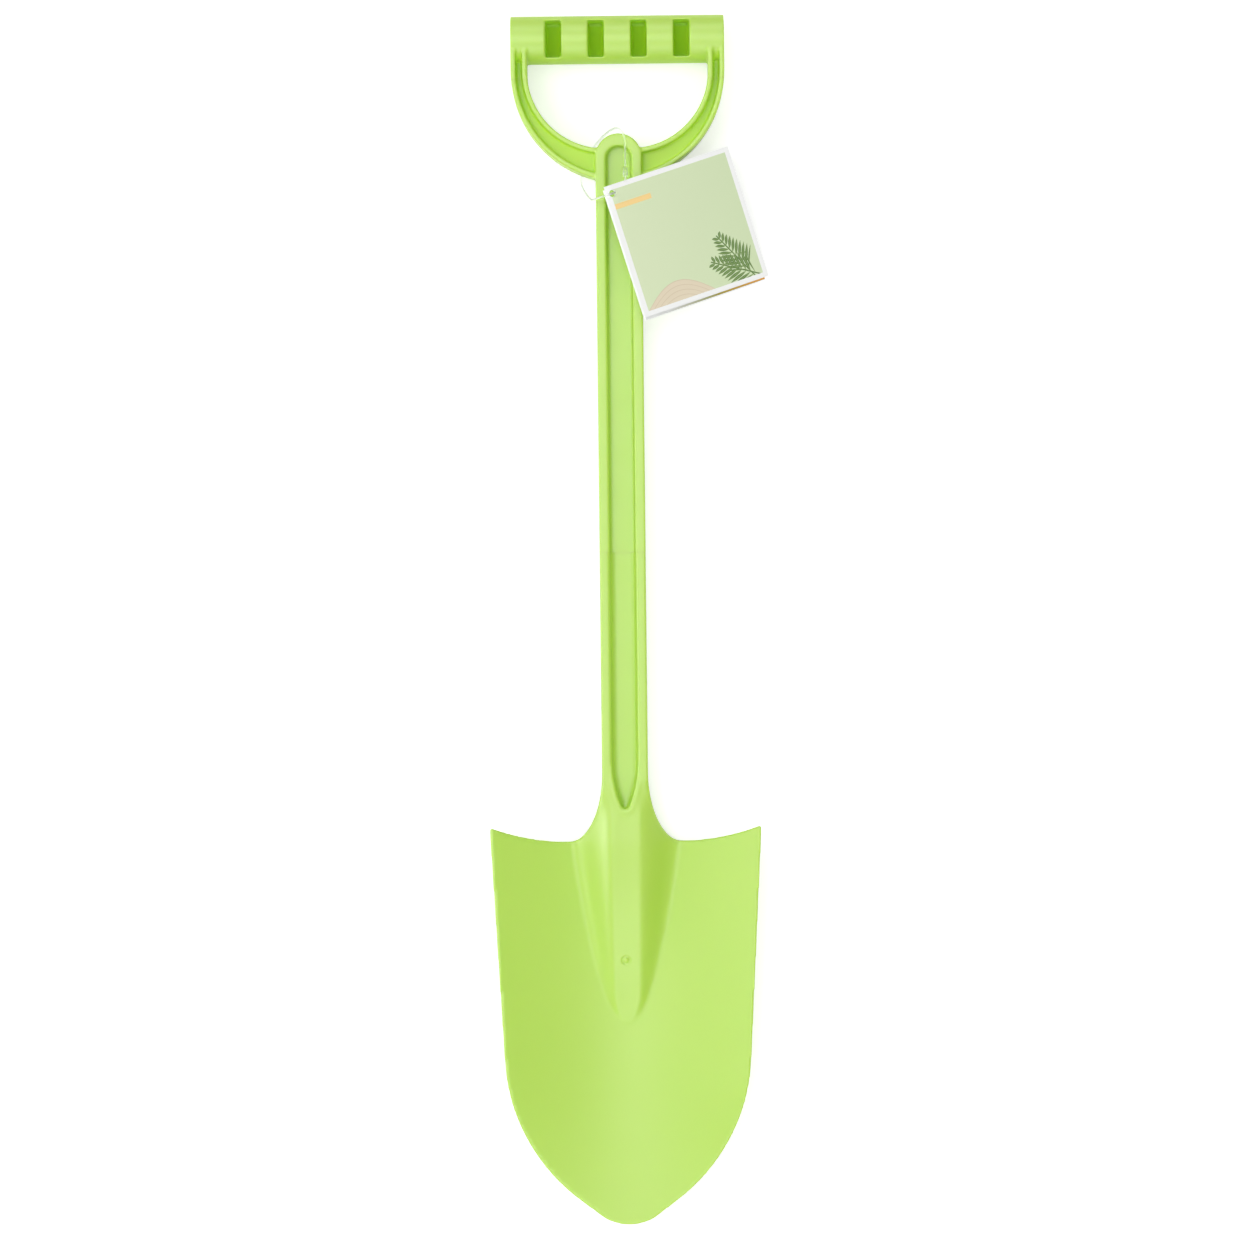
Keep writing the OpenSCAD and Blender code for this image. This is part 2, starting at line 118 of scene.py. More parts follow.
def applied(piece):
    """Applies the piece's modifiers to its mesh."""
    shape = piece.evaluated_get(bpy.context.evaluated_depsgraph_get())
    mesh = bpy.data.meshes.new_from_object(shape)
    piece.modifiers.clear()
    spent, piece.data = piece.data, mesh
    bpy.data.meshes.remove(spent)
    return piece


def combined(piece, others, operation):
    """Cuts the others from the piece, adds them to it or keeps what they share, and deletes them."""
    for other in others:
        change = piece.modifiers.new("change", "BOOLEAN")
        change.operation = operation
        change.solver = "EXACT"
        change.object = other
    applied(piece)
    for other in others:
        bpy.data.objects.remove(other)
    return piece


def report(piece):
    size = [round(d / MM, 1) for d in piece.dimensions]
    triangles = sum(len(p.vertices) - 2 for p in piece.data.polygons)
    bm = bmesh.new()
    bm.from_mesh(piece.data)
    open_edges = sum(1 for e in bm.edges if len(e.link_faces) != 2)
    bm.free()
    print("%-16s %s mm, %d triangles, %d open edges" % (piece.name, size, triangles, open_edges))


# %% [markdown]
# ## The clear loop
# The tag hangs on a thin clear filament that is closed by a small lock. A curve is the right
# thing to draw a filament with: a smooth line through a few points, with a round bevel for its
# thickness. It leaves the lock in the recess, comes up through the punched hole, passes over
# the fold of the card, goes down the left side of the shaft, behind the left arm and back
# over the round top of the shaft to the lock. The tube is then kept as a mesh.

# %% Route of the filament, in millimetres
FILAMENT_D = 1
LOCK_LOW = (3.2, 211.9, 21.6)
ROUTE = [
    LOCK_LOW, (3.2, 211, 21.6), (2.8, 209.2, 21.5), (1.6, 207.3, 21.4), (-0.6, 205.4, 21.6),
    (-2.9, 204, 22.8), (-4.2, 203.4, 25), (-4.2, 203.3, 27.6), (-3.5, 203.3, 30),
    (-2.8, 203.3, 31.9), (-2.2, 203.3, 33.6), (-2.4, 203.1, 35.3), (-3.9, 202.6, 36.6),
    (-6.1, 201.9, 36.8), (-8.3, 201.3, 35.7), (-10.1, 200.9, 33.6), (-11.4, 200.7, 31),
    (-12.2, 200.7, 28), (-12.8, 200.9, 24.8), (-13.5, 201.6, 21.1), (-14.5, 202.9, 17.3),
    (-15.7, 204.9, 13.2), (-17, 207.6, 8.4), (-17.8, 210.4, 4), (-17.8, 213.4, 1.8),
    (-17, 217.5, 1.5), (-15.4, 221.8, 1.5), (-13.4, 225.6, 1.9), (-11.2, 228.6, 4),
    (-8.6, 231.3, 8), (-5.6, 233.7, 12.4), (-2.6, 235.2, 16.6), (-0.2, 235.3, 20),
    (1.6, 233.9, 21.6), (2.8, 231, 21.6), (3.2, 227, 21.5), (3.2, 222, 21.5),
    (3.2, 218.4, 21.6), (3.2, 216.9, 21.6),
]

# %% Filament
curve = bpy.data.curves.new("route", "CURVE")
curve.dimensions = "3D"
curve.bevel_resolution = 3
curve.resolution_u = 5
curve.use_fill_caps = True
spline = curve.splines.new("BEZIER")
spline.bezier_points.add(len(ROUTE) - 1)
for point, place in zip(spline.bezier_points, ROUTE):
    point.co = place
    point.handle_left_type = point.handle_right_type = "AUTO"
route = linked("route", curve)


def drawn(thickness):
    """The curve as a bmesh: a tube, or its bare line where the thickness is 0."""
    curve.bevel_depth = thickness / 2
    shape = route.evaluated_get(bpy.context.evaluated_depsgraph_get())
    bm = bmesh.new()
    bm.from_mesh(bpy.data.meshes.new_from_object(shape))
    return bm


bm = drawn(0)
bm.free()
filament = finished(drawn(FILAMENT_D), "clear_filament")
smoothed(filament)
bpy.data.objects.remove(route)
report(filament)

# %% [markdown]
# ## The blade
# The blade is a wide V with a rounded keel, and it gets shallower towards the tip. A grid is
# the natural start: each wing is one grid whose vertices are moved to the outline by formula,
# so its rows follow the edge. An extrusion down gives the wall its thickness.

# %% Sizes of the blade
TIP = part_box("blade")[0].y / MM
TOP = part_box("grip")[1].y / MM
WALL = 2.5
BLADE_L = 184.7
SHOULDER = TIP + BLADE_L
CORNER_RISE = 7.6
CORNER = Vector((65, SHOULDER + CORNER_RISE))
SIDE_LEAN, NOSE_LEAN = radians(3.1), radians(52.4)
SHOULDER_R, TIP_R = 92, 22.6
DISH, KEEL, NOSE = tan(radians(26.5)), 45, 75
DISH_LOSS = 0.35
FROG_W, FROG_L = 54, 88
APEX = SHOULDER - FROG_L
print("blade from y %.1f to %.1f, frog down to %.1f" % (TIP, CORNER.y, APEX))


def mix(a, b, t):
    return a + (b - a) * t


def ease(t):
    t = min(1, max(0, t))
    return t * t * (3 - 2 * t)


def front_z(x, y):
    """Height of the blade's front, from the surface that the shovel lies on."""
    slope = DISH * (1 - DISH_LOSS * ease((TIP + NOSE - y) / NOSE))
    return WALL + slope * (hypot(x, KEEL) - KEEL)


def crease(share):
    """The line where the frog's flank meets the right wing."""
    return Vector((FROG_W / 2 * (1 - share), SHOULDER - FROG_L * (1 - (1 - share) ** 2)))


# %% Outline of the blade
side_in = Vector((-cos(SIDE_LEAN), sin(SIDE_LEAN)))
nose_in = Vector((-cos(NOSE_LEAN), sin(NOSE_LEAN)))
tip_centre = Vector((0, TIP + TIP_R))
nose_end = tip_centre - TIP_R * nose_in
side_reach = CORNER.dot(side_in) + SHOULDER_R
nose_reach = nose_end.dot(nose_in) + SHOULDER_R
cross = side_in.x * nose_in.y - side_in.y * nose_in.x
shoulder_centre = Vector((side_reach * nose_in.y - nose_reach * side_in.y,
                          side_in.x * nose_reach - nose_in.x * side_reach)) / cross
side_end = shoulder_centre - SHOULDER_R * side_in
nose_start = shoulder_centre - SHOULDER_R * nose_in
SIDE_ROWS, SHOULDER_ROWS, NOSE_ROWS, TIP_ROWS = 20, 10, 6, 8
ROWS = SIDE_ROWS + SHOULDER_ROWS + NOSE_ROWS + TIP_ROWS
CREASE_ROWS = 16
print("shoulder's arc from y %.1f to %.1f" % (side_end.y, nose_start.y))


def edge_point(row):
    """The right half of the outline: the side, the shoulder's arc, the nose and the tip's arc."""
    if row <= SIDE_ROWS:
        return mix(CORNER, side_end, row / SIDE_ROWS)
    row -= SIDE_ROWS
    if row <= SHOULDER_ROWS:
        a = mix(SIDE_LEAN, NOSE_LEAN, row / SHOULDER_ROWS)
        return shoulder_centre + SHOULDER_R * Vector((cos(a), -sin(a)))
    row -= SHOULDER_ROWS
    if row <= NOSE_ROWS:
        return mix(nose_start, nose_end, row / NOSE_ROWS)
    a = mix(NOSE_LEAN, pi / 2, (row - NOSE_ROWS) / TIP_ROWS)
    return tip_centre + TIP_R * Vector((cos(a), -sin(a)))


def root_point(row):
    """Where a row of the wing starts: on the crease, then down the keel."""
    if row <= CREASE_ROWS:
        return crease(row / CREASE_ROWS)
    return Vector((0, mix(APEX, tip_centre.y, (row - CREASE_ROWS) / (ROWS - CREASE_ROWS))))


# %% The two wings
WING_ACROSS, WING_ALONG = 26, 88


def sheet(across, along, place):
    """A closed sheet from a grid: place(u, v, back) gives each vertex, with u and v from 0 to 1."""
    bm = bmesh.new()
    bmesh.ops.create_grid(bm, x_segments=across, y_segments=along, size=0.5)
    pulled = bmesh.ops.extrude_face_region(bm, geom=bm.faces[:])["geom"]
    lower = {v for v in pulled if isinstance(v, bmesh.types.BMVert)}
    for v in bm.verts:
        v.co = place(v.co.x + 0.5, v.co.y + 0.5, v in lower)
    return bm


def wing(side):
    def place(u, v, back):
        row = v * ROWS
        p = mix(root_point(row), edge_point(row), u)
        x, y = p.x, p.y + CORNER_RISE * (u * u - u) * (1 - v) ** 3
        return Vector((side * x, y, front_z(x, y) - (WALL if back else 0)))

    return finished(sheet(WING_ACROSS, WING_ALONG, place), "wing")


wings = [wing(1), wing(-1)]
for piece in wings:
    report(piece)

# %% [markdown]
# ## The frog
# The frog starts as the shaft's box section, flares out to 54 mm at the blade's top edge and
# runs down the blade as a rounded ridge to a point. It is hollow at the back. The same kind of
# grid serves: its front and back rows follow two sections that turn from a box into a ridge.
# A low bead goes round the lower end of the recess, where the shaft's rims run out.

# %% Sizes of the shaft and the frog
SHAFT_W, SHAFT_D = 22, 17.5
SHAFT_BACK = GRIP_LEVEL - SHAFT_D / 2
SHAFT_FRONT = GRIP_LEVEL + SHAFT_D / 2
FLARE = 33.3
RECESS_D = 5
RECESS_HALF = 6
RECESS_FLOOR = SHAFT_FRONT - RECESS_D
WEB_BACK = RECESS_FLOOR - WALL
FLARE_ROWS = 12
SHAFT_END = SHOULDER + FLARE
LANCET_L, LANCET_ROUND, LANCET_GAP = 24, 1.8, 15.9
LANCET_Y = SHOULDER + LANCET_GAP + LANCET_L
LANCET_FALL = LANCET_L - LANCET_ROUND
CREST_HALF, WIDEST_CREST = 5.7, 0.58
BEAD_H, BEAD_OUT, BEAD_W, BEAD_RUN = 0.55, 1.5, 1.1, 9
FALL_POWER, FALL_EASE = 1.3, 0.3
print("flare from y %.1f to %.1f, recess down to %.1f" % (SHAFT_END, SHOULDER, LANCET_Y - LANCET_L))

# %% Form of the frog
def socket_half_width(row):
    if row <= FLARE_ROWS:
        a = row / FLARE_ROWS * pi / 2
        return mix(SHAFT_W / 2, FROG_W / 2, 1 - cos(a)), SHAFT_END - FLARE * sin(a)
    return crease((row - FLARE_ROWS) / CREASE_ROWS)[:]


def frog_height(y):
    drop = min(1, max(0, (SHOULDER - y) / FROG_L))
    return (SHAFT_FRONT - WALL) * (1 - mix(drop ** FALL_POWER, ease(drop), FALL_EASE))


def lancet_radius(half):
    """Radius of the recess's two lower arcs, which run into a small round end."""
    return (half ** 2 + LANCET_FALL ** 2 - LANCET_ROUND ** 2) / (2 * (half - LANCET_ROUND))


def bead(x, y):
    """Height of the bead beside the pointed lower end of the recess."""
    r = lancet_radius(RECESS_HALF)
    off = hypot(abs(x) + r - RECESS_HALF, LANCET_Y - y) - r
    if y < LANCET_Y - LANCET_FALL:
        off = hypot(x, LANCET_Y - LANCET_FALL - y) - LANCET_ROUND
    return BEAD_H * exp(-((off - BEAD_OUT) / BEAD_W) ** 2) * ease((SHAFT_END - y) / BEAD_RUN)


def ridge_share(x, ridge_half, crest, foot):
    """1 on the crest and 0 at the foot of the ridge."""
    return 1 - ease((x / ridge_half - crest) / (foot - crest))


# %% From a box to a ridge
# Shares of the flare at which the section starts to spread, to round and to hollow, and their runs
SPREAD_AT, ROUND_AT, ROUND_RUN, HOLLOW_AT, HOLLOW_RUN = 0.25, 0.1, 0.6, 0.55, 0.35
BOX_FRONT = 0.6
HOLLOW_CREST, HOLLOW_FOOT = 0.9, 0.97
FROG_ACROSS, FROG_ALONG = 60, 112


def socket_point(u, v, back):
    """A point of the frog's front or back. A side wall closes the section up to the ridge."""
    row = (1 - v) * (FLARE_ROWS + CREASE_ROWS)
    w = 2 * u - 1
    half, y = socket_half_width(row)
    down = (SHAFT_END - y) / FLARE
    blend = ease((down - SPREAD_AT) / (1 - SPREAD_AT))
    wall = mix(BOX_FRONT, 1, blend)
    ridge_half = max(1e-6, half if row > FLARE_ROWS else FROG_W / 2)
    crest = min(CREST_HALF / max(ridge_half, 1), WIDEST_CREST)
    foot, turn, drop, reach, box_top = 1, ease((down - ROUND_AT) / ROUND_RUN), 0, half, SHAFT_FRONT
    if back:
        side_wall = min(WALL, frog_height(y) * ridge_share(half, ridge_half, crest, foot))
        crest, foot, drop = HOLLOW_CREST * crest, HOLLOW_FOOT, WALL
        turn, reach, box_top = ease((down - HOLLOW_AT) / HOLLOW_RUN), half - side_wall, WEB_BACK
    x = reach * max(-1, min(1, w / wall))
    low = front_z(x, y) - drop
    top = mix(box_top, low + frog_height(y) * ridge_share(abs(x), ridge_half, crest, foot), turn)
    edge = mix(SHAFT_BACK, low, blend)
    z = mix(top, edge, max(0, abs(w) - wall) / max(1 - wall, 1e-6))
    return Vector((x, y, z if back else z + bead(x, y)))


frog = finished(sheet(FROG_ACROSS, FROG_ALONG, socket_point), "frog")
report(frog)

# %% [markdown]
# ## Outlines by spinning
# The recess, the arms and the round top of the shaft are flat outlines with arcs, pulled up
# into solids. Spinning a single vertex about a centre draws an arc, a straight extrusion of a
# vertex draws a line, and filling the closed loop makes the face to pull up.

# %% Outline helper
class Outline:
    """A flat outline drawn vertex by vertex, then pulled up into a solid."""

    def __init__(self, x, y):
        self.bm = bmesh.new()
        self.end = self.bm.verts.new((x, y, 0))

    def line(self, x, y):
        pulled = bmesh.ops.extrude_vert_indiv(self.bm, verts=[self.end])["verts"]
        self.end = pulled[0]
        self.end.co = (x, y, 0)
        return self

    def arc(self, x, y, angle, steps=32):
        last = bmesh.ops.spin(self.bm, geom=[self.end], cent=(x, y, 0), axis=(0, 0, 1),
                              angle=radians(angle), steps=steps, use_duplicate=False)
        self.end = last["geom_last"][0]
        return self

    def solid(self, name, low, high, top_scale=(1, 1), turn=None):
        """Closes the outline, pulls it up from low to high and turns the solid."""
        bm = self.bm
        bmesh.ops.remove_doubles(bm, verts=bm.verts, dist=1e-4)
        ends = [v for v in bm.verts if len(v.link_edges) == 1]
        if ends:
            bmesh.ops.contextual_create(bm, geom=ends)
        bmesh.ops.contextual_create(bm, geom=bm.edges[:])
        bmesh.ops.translate(bm, vec=(0, 0, low), verts=bm.verts)
        pulled = bmesh.ops.extrude_face_region(bm, geom=bm.faces[:])["geom"]
        upper = [v for v in pulled if isinstance(v, bmesh.types.BMVert)]
        bmesh.ops.translate(bm, vec=(0, 0, high - low), verts=upper)
        bmesh.ops.scale(bm, vec=(top_scale[0], top_scale[1], 1), verts=upper)
        if turn:
            bmesh.ops.transform(bm, matrix=turn, verts=bm.verts)
        return finished(bm, name)


def block(name, low, high):
    """A box between two corners."""
    bm = bmesh.new()
    bmesh.ops.create_cube(bm, size=1)
    low, high = Vector(low), Vector(high)
    bmesh.ops.scale(bm, vec=high - low, verts=bm.verts)
    bmesh.ops.translate(bm, vec=(low + high) / 2, verts=bm.verts)
    return finished(bm, name)


# %% [markdown]
# ## The shaft
# The shaft is a bar with a round top. Its front has a recess that ends in a lancet point over
# the frog, with a little draft so that the mould lets go. Its back is a channel with thin ribs.

# %% Recess of the shaft
BEND_DROP = 27
BEND = TOP - BEND_DROP
OUTER_R, INNER_R = 52.7, 37
BOSS_RISE, BOSS_RIM = 7, 5.6
BOSS_TOP = BEND - INNER_R + BOSS_RISE
BOSS = BOSS_TOP - SHAFT_W / 2
RECESS_TOP = BOSS_TOP - BOSS_RIM - RECESS_HALF
FLOOR_INSET, MOUTH_SCALE = 0.3, 1.12
print("round top of the shaft at y %.1f, recess up to %.1f" % (BOSS_TOP, BOSS_TOP - BOSS_RIM))


def recess(name):
    """The cutter for the recess, narrow at its floor and wide at its mouth."""
    half = RECESS_HALF - FLOOR_INSET
    r = lancet_radius(half)
    sweep = degrees(asin(LANCET_FALL / (r - LANCET_ROUND)))
    outline = Outline(half, LANCET_Y).line(half, RECESS_TOP)
    outline.arc(0, RECESS_TOP, 180, 40).line(-half, LANCET_Y)
    outline.arc(r - half, LANCET_Y, sweep, 40)
    outline.arc(0, LANCET_Y - LANCET_FALL, 180 - 2 * sweep, 20)
    outline.arc(half - r, LANCET_Y, sweep, 40)
    return outline.solid(name, RECESS_FLOOR, SHAFT_FRONT + 1, (MOUTH_SCALE, 1))


# %% Shaft
RIBS, RIB_PITCH, RIB_T, RIB_INSET = 6, 42, 1.8, 1.5
SHAFT_LAP, CHANNEL_LAP = 2, 9
half_w = SHAFT_W / 2
channel_half = half_w - WALL

shaft = Outline(half_w, SHAFT_END - SHAFT_LAP).line(half_w, BOSS).arc(0, BOSS, 180, 64)
shaft = shaft.line(-half_w, SHAFT_END - SHAFT_LAP).solid("shaft", SHAFT_BACK, SHAFT_FRONT)
bay = SHAFT_END - CHANNEL_LAP
cutters = [recess("recess"),
           block("channel", (-channel_half, bay, SHAFT_BACK - 1),
                 (channel_half, BOSS, SHAFT_BACK + RIB_INSET))]
for n in range(RIBS + 1):
    rib = SHAFT_END + (n + 1) * RIB_PITCH
    bay_end = min(BOSS, rib - RIB_T / 2)
    cutters.append(block("bay", (-channel_half, bay, SHAFT_BACK + 1),
                         (channel_half, bay_end, WEB_BACK)))
    bay = rib + RIB_T / 2
combined(shaft, cutters, "DIFFERENCE")
combined(frog, [recess("recess")], "DIFFERENCE")
report(shaft)
report(frog)

# %% [markdown]
# ## The arms
# Each arm is an I-section that swings from the shaft up to the end of the grip. Its outer and
# inner sides are arcs with different centres, so it narrows on the way, and it gets deeper
# near the grip. A second outline, drawn from the side, trims its front and back to that. The
# grooves in its front and back are the first outline again, drawn in by the flange, and the
# web between them is level with the web of the shaft.

# %% Sizes of the arms
ARM_D, ARM_GRIP_D, FLANGE = 16, 21.4, 2.3
GRIP_HALF = 51
ARM_END_W, ARM_ROOT, DEEPEN = 7.8, 9, 50
OUTER_X = GRIP_HALF - OUTER_R
INNER_SIDE = GRIP_HALF - ARM_END_W
INNER_X = INNER_SIDE - INNER_R
GRIP_R = 11.5
GRIP_Y = TOP - GRIP_R
DEEPEN_Y = TOP - DEEPEN
ACROSS = Matrix(((0, 0, 1), (1, 0, 0), (0, 1, 0))).to_4x4()
print("arms' arcs about y %.1f, deeper from y %.1f to %.1f" % (BEND, DEEPEN_Y, TOP - 2 * GRIP_R))


# %% Arms
def arm_outline(inset, start_x):
    """From the start beside the shaft, along the outer side to the grip, then back inside."""
    outer_r, inner_r = OUTER_R - inset, INNER_R + inset
    outer_sweep = degrees(acos((start_x - OUTER_X) / outer_r))
    inner_sweep = degrees(acos((start_x - INNER_X) / inner_r))
    start_y = BEND - outer_r * sin(radians(outer_sweep))
    outline = Outline(start_x, start_y).arc(OUTER_X, BEND, outer_sweep, 56)
    outline.line(GRIP_HALF - inset, GRIP_Y).line(INNER_SIDE + inset, GRIP_Y)
    outline.line(INNER_SIDE + inset, BEND)
    return outline.arc(INNER_X, BEND, -inner_sweep, 56)


def side_outline():
    """The arm from the side, y across and the level up: plain beside the shaft, deep at the grip."""
    low_y, deep, plain = BEND - OUTER_R - 1, ARM_GRIP_D / 2, ARM_D / 2
    outline = Outline(low_y, GRIP_LEVEL - plain).line(DEEPEN_Y, GRIP_LEVEL - plain)
    outline.line(TOP - 2 * GRIP_R, GRIP_LEVEL - deep).line(GRIP_Y, GRIP_LEVEL - deep)
    outline.line(GRIP_Y, GRIP_LEVEL + deep).line(TOP - 2 * GRIP_R, GRIP_LEVEL + deep)
    return outline.line(DEEPEN_Y, GRIP_LEVEL + plain).line(low_y, GRIP_LEVEL + plain)


arm = arm_outline(0, ARM_ROOT).solid("arm", 0, 2 * GRIP_R)
combined(arm, [side_outline().solid("side", 0, GRIP_HALF + 1, turn=ACROSS)], "INTERSECT")
combined(arm, [arm_outline(FLANGE, half_w).solid("groove", RECESS_FLOOR, 2 * GRIP_R),
               arm_outline(FLANGE, half_w).solid("groove", 0, WEB_BACK)], "DIFFERENCE")


def mirrored(piece, name):
    """A copy of the piece on the other side of the shovel."""
    bm = bmesh.new()
    bm.from_mesh(piece.data)
    bmesh.ops.scale(bm, vec=(-1, 1, 1), verts=bm.verts)
    bmesh.ops.reverse_faces(bm, faces=bm.faces)
    mesh = bpy.data.meshes.new(name)
    bm.to_mesh(mesh)
    bm.free()
    return linked(name, mesh)


other_arm = mirrored(arm, "other_arm")
report(arm)

# %% [markdown]
# ## The grip
# The grip is a round bar, cored from the front and from the back in turn so that no wall is
# thick enough to sink as it cools. Each pocket narrows a little towards its floor.

# %% Grip
POCKET_W, POCKET_H, POCKET_PITCH, POCKET_DEPTH = 7.8, 18, 20.4, 16
POCKET_DRAFT = 0.93


def pocket(x, front):
    """The cutter of one pocket, whose open end is a little wider than its floor."""
    bm = bmesh.new()
    bmesh.ops.create_cube(bm, size=1)
    bmesh.ops.scale(bm, vec=(POCKET_W, POCKET_H, POCKET_DEPTH + 1), verts=bm.verts)
    floor_end = [v for v in bm.verts if (v.co.z < 0) == front]
    bmesh.ops.scale(bm, vec=(POCKET_DRAFT, POCKET_DRAFT, 1), verts=floor_end)
    level = GRIP_R + (1 if front else -1) * (GRIP_R - (POCKET_DEPTH - 1) / 2)
    bmesh.ops.translate(bm, vec=(x, GRIP_Y, level), verts=bm.verts)
    return finished(bm, "pocket")


bm = bmesh.new()
bmesh.ops.create_cone(bm, cap_ends=True, segments=128, radius1=GRIP_R, radius2=GRIP_R,
                      depth=2 * GRIP_HALF)
bmesh.ops.rotate(bm, cent=(0, 0, 0), matrix=Matrix.Rotation(pi / 2, 3, "Y"), verts=bm.verts)
bmesh.ops.translate(bm, vec=(0, GRIP_Y, GRIP_LEVEL), verts=bm.verts)
grip = finished(bm, "grip_bar")
front_cores = [pocket(x * POCKET_PITCH, True) for x in (-1.5, -0.5, 0.5, 1.5)]
back_cores = [pocket(x * POCKET_PITCH, False) for x in (-1, 0, 1)]
combined(grip, front_cores + back_cores, "DIFFERENCE")
report(grip)

# %% [markdown]
# ## One skin
# The regions overlap a little where they join. A voxel remesh melts them into one closed
# skin, and a few passes of smoothing leave the small radii and fillets of a moulding. The
# handle has finer edges than the blade, so it gets finer voxels. Each skin is then cut square
# across, which keeps each piece light: below the cut the faces are the blade's, above it the
# handle's, and both have the shaft's plain section there.

# %% Remesh and smooth
BLADE_VOXEL, HANDLE_VOXEL = 0.88, 0.52
BLADE_PASSES, HANDLE_PASSES = 4, 5
SPLIT, OVERLAP = 33, 3
WIDE = 100


def melted(name, parts, voxel, passes):
    """One skin round the parts, with soft edges."""
    skin = combined(parts[0], parts[1:], "UNION")
    skin.name = name
    melt = skin.modifiers.new("melt", "REMESH")
    melt.mode = "VOXEL"
    melt.voxel_size = voxel * MM
    melt.use_smooth_shade = True
    soften = skin.modifiers.new("soften", "SMOOTH")
    soften.factor = 0.5
    soften.iterations = passes
    applied(skin)
    report(skin)
    return skin


lower_shaft = linked("lower_shaft", shaft.data.copy())
combined(lower_shaft, [block("keep", (-WIDE, TIP, -1), (WIDE, SPLIT + OVERLAP, WIDE))], "INTERSECT")
combined(shaft, [block("keep", (-WIDE, SPLIT - OVERLAP, -1), (WIDE, TOP, WIDE))], "INTERSECT")
blade_skin = melted("blade_skin", [frog, lower_shaft] + wings, BLADE_VOXEL, BLADE_PASSES)
handle_skin = melted("handle_skin", [shaft, arm, other_arm, grip], HANDLE_VOXEL, HANDLE_PASSES)

# %% Cut the skins into pieces
YOKE_Y, GRIP_LOW = 200, 259


def between(skin, name, low, high):
    """The part of a skin from low to high along the shovel, closed at its cuts."""
    bm = bmesh.new()
    bm.from_mesh(skin.data)
    for level, upward in ((low, True), (high, False)):
        bmesh.ops.bisect_plane(bm, geom=bm.verts[:] + bm.edges[:] + bm.faces[:],
                               plane_co=(0, level * MM, 0), plane_no=(0, 1, 0),
                               clear_inner=upward, clear_outer=not upward)
    rim = [e for e in bm.edges if e.is_boundary]
    caps = bmesh.ops.holes_fill(bm, edges=rim, sides=0)["faces"]
    bmesh.ops.triangulate(bm, faces=caps)
    for face in bm.faces:
        face.smooth = True
    for edge in rim:
        edge.smooth = False
    mesh = bpy.data.meshes.new(name)
    bm.to_mesh(mesh)
    bm.free()
    piece = linked(name, mesh)
    report(piece)
    return piece


moulded_blade = between(blade_skin, "moulded_blade", TIP - 1, SPLIT)
moulded_shaft = between(handle_skin, "moulded_shaft", SPLIT, YOKE_Y)
moulded_yoke = between(handle_skin, "moulded_yoke", YOKE_Y, GRIP_LOW)
moulded_grip = between(handle_skin, "moulded_grip", GRIP_LOW, TOP + 1)
for skin in (blade_skin, handle_skin):
    bpy.data.objects.remove(skin)

# %% [markdown]
# ## The gate mark
# Plastic went into the mould at one point on the frog's crest, and left a ring and a pip where
# the runner broke off. The skin is too coarse for that, so the faces round the gate are
# subdivided first, and then each vertex is raised or lowered by its distance from the middle.

# %% Gate mark
GATE = Vector((-0.5, -162.3))
GATE_R, RING_R, RING_W, RING_DEPTH = 4.2, 1.75, 0.55, 0.34
PIP_R, PIP_H = 0.85, 0.3


def gate_distance(v):
    return hypot(v.co.x / MM - GATE.x, v.co.y / MM - GATE.y)


def at_gate(v):
    return gate_distance(v) < GATE_R and v.normal.z > 0.5


bm = bmesh.new()
bm.from_mesh(moulded_blade.data)
for _ in range(2):
    near = [e for e in bm.edges if all(at_gate(v) for v in e.verts)]
    bmesh.ops.subdivide_edges(bm, edges=near, cuts=1, use_grid_fill=True)
for v in bm.verts:
    if at_gate(v):
        away = gate_distance(v)
        ring = exp(-((away - RING_R) / RING_W) ** 2)
        pip = exp(-(away / PIP_R) ** 4)
        v.co.z += (PIP_H * pip - RING_DEPTH * ring) * MM
bm.to_mesh(moulded_blade.data)
bm.free()
smoothed(moulded_blade)
report(moulded_blade)

# %% [markdown]
# ## Painted shade in the pockets and grooves
# Inside the grip's pockets and between the arms' flanges the colour is painted a deeper,
# more saturated green, as painted shade for the light that reaches there only by bouncing and
# through the plastic, and the tool left the walls dull. The material needs to know where that
# is, so each vertex keeps a number from 0, open, to 1, inside.

# %% Share of painted shade at a point on the handle
MOUTH, FADE = 0.7, 3.2
POCKETS_REACH = 2 * POCKET_PITCH
BAR_LOW = GRIP_Y - GRIP_R
GROOVE_FADE, GROOVE_PAINTED_SHADE, GROOVE_END = 4, 0.6, 3
FLANGE_SHARE = 0.7


def painted_shade_share(x, y, z):
    """How far a point is inside the grip's bar, or down in the groove of an arm: its share of painted
    shade.
    """
    if y > BAR_LOW and x < POCKETS_REACH:
        return ease((GRIP_R - MOUTH - hypot(y - GRIP_Y, z - GRIP_LEVEL)) / FADE)
    to_outside, to_inside = GRIP_HALF - x, x - INNER_SIDE
    if y < BEND:
        to_outside = OUTER_R - hypot(x - OUTER_X, y - BEND)
        to_inside = hypot(x - INNER_X, y - BEND) - INNER_R
    if x < half_w or min(to_outside, to_inside) < FLANGE_SHARE * FLANGE:
        return 0
    deeper = min(1, max(0, (y - DEEPEN_Y) / (BAR_LOW - DEEPEN_Y)))
    front = mix(ARM_D, ARM_GRIP_D, deeper) / 2
    below_bar = ease((GRIP_Y - GROOVE_END - y) / FADE)
    return GROOVE_PAINTED_SHADE * below_bar * ease((front - abs(z - GRIP_LEVEL)) / GROOVE_FADE)


# Each vertex of the yoke and the grip keeps its share of painted shade.
for piece in (moulded_yoke, moulded_grip):
    kept = piece.data.attributes.new("painted_shade_share", "FLOAT", "POINT")
    for v in piece.data.vertices:
        x, y, z = v.co / MM
        kept.data[v.index].value = painted_shade_share(abs(x), y, z)
    print(piece.name, "sheltered vertices:", sum(d.value > 0.3 for d in kept.data))

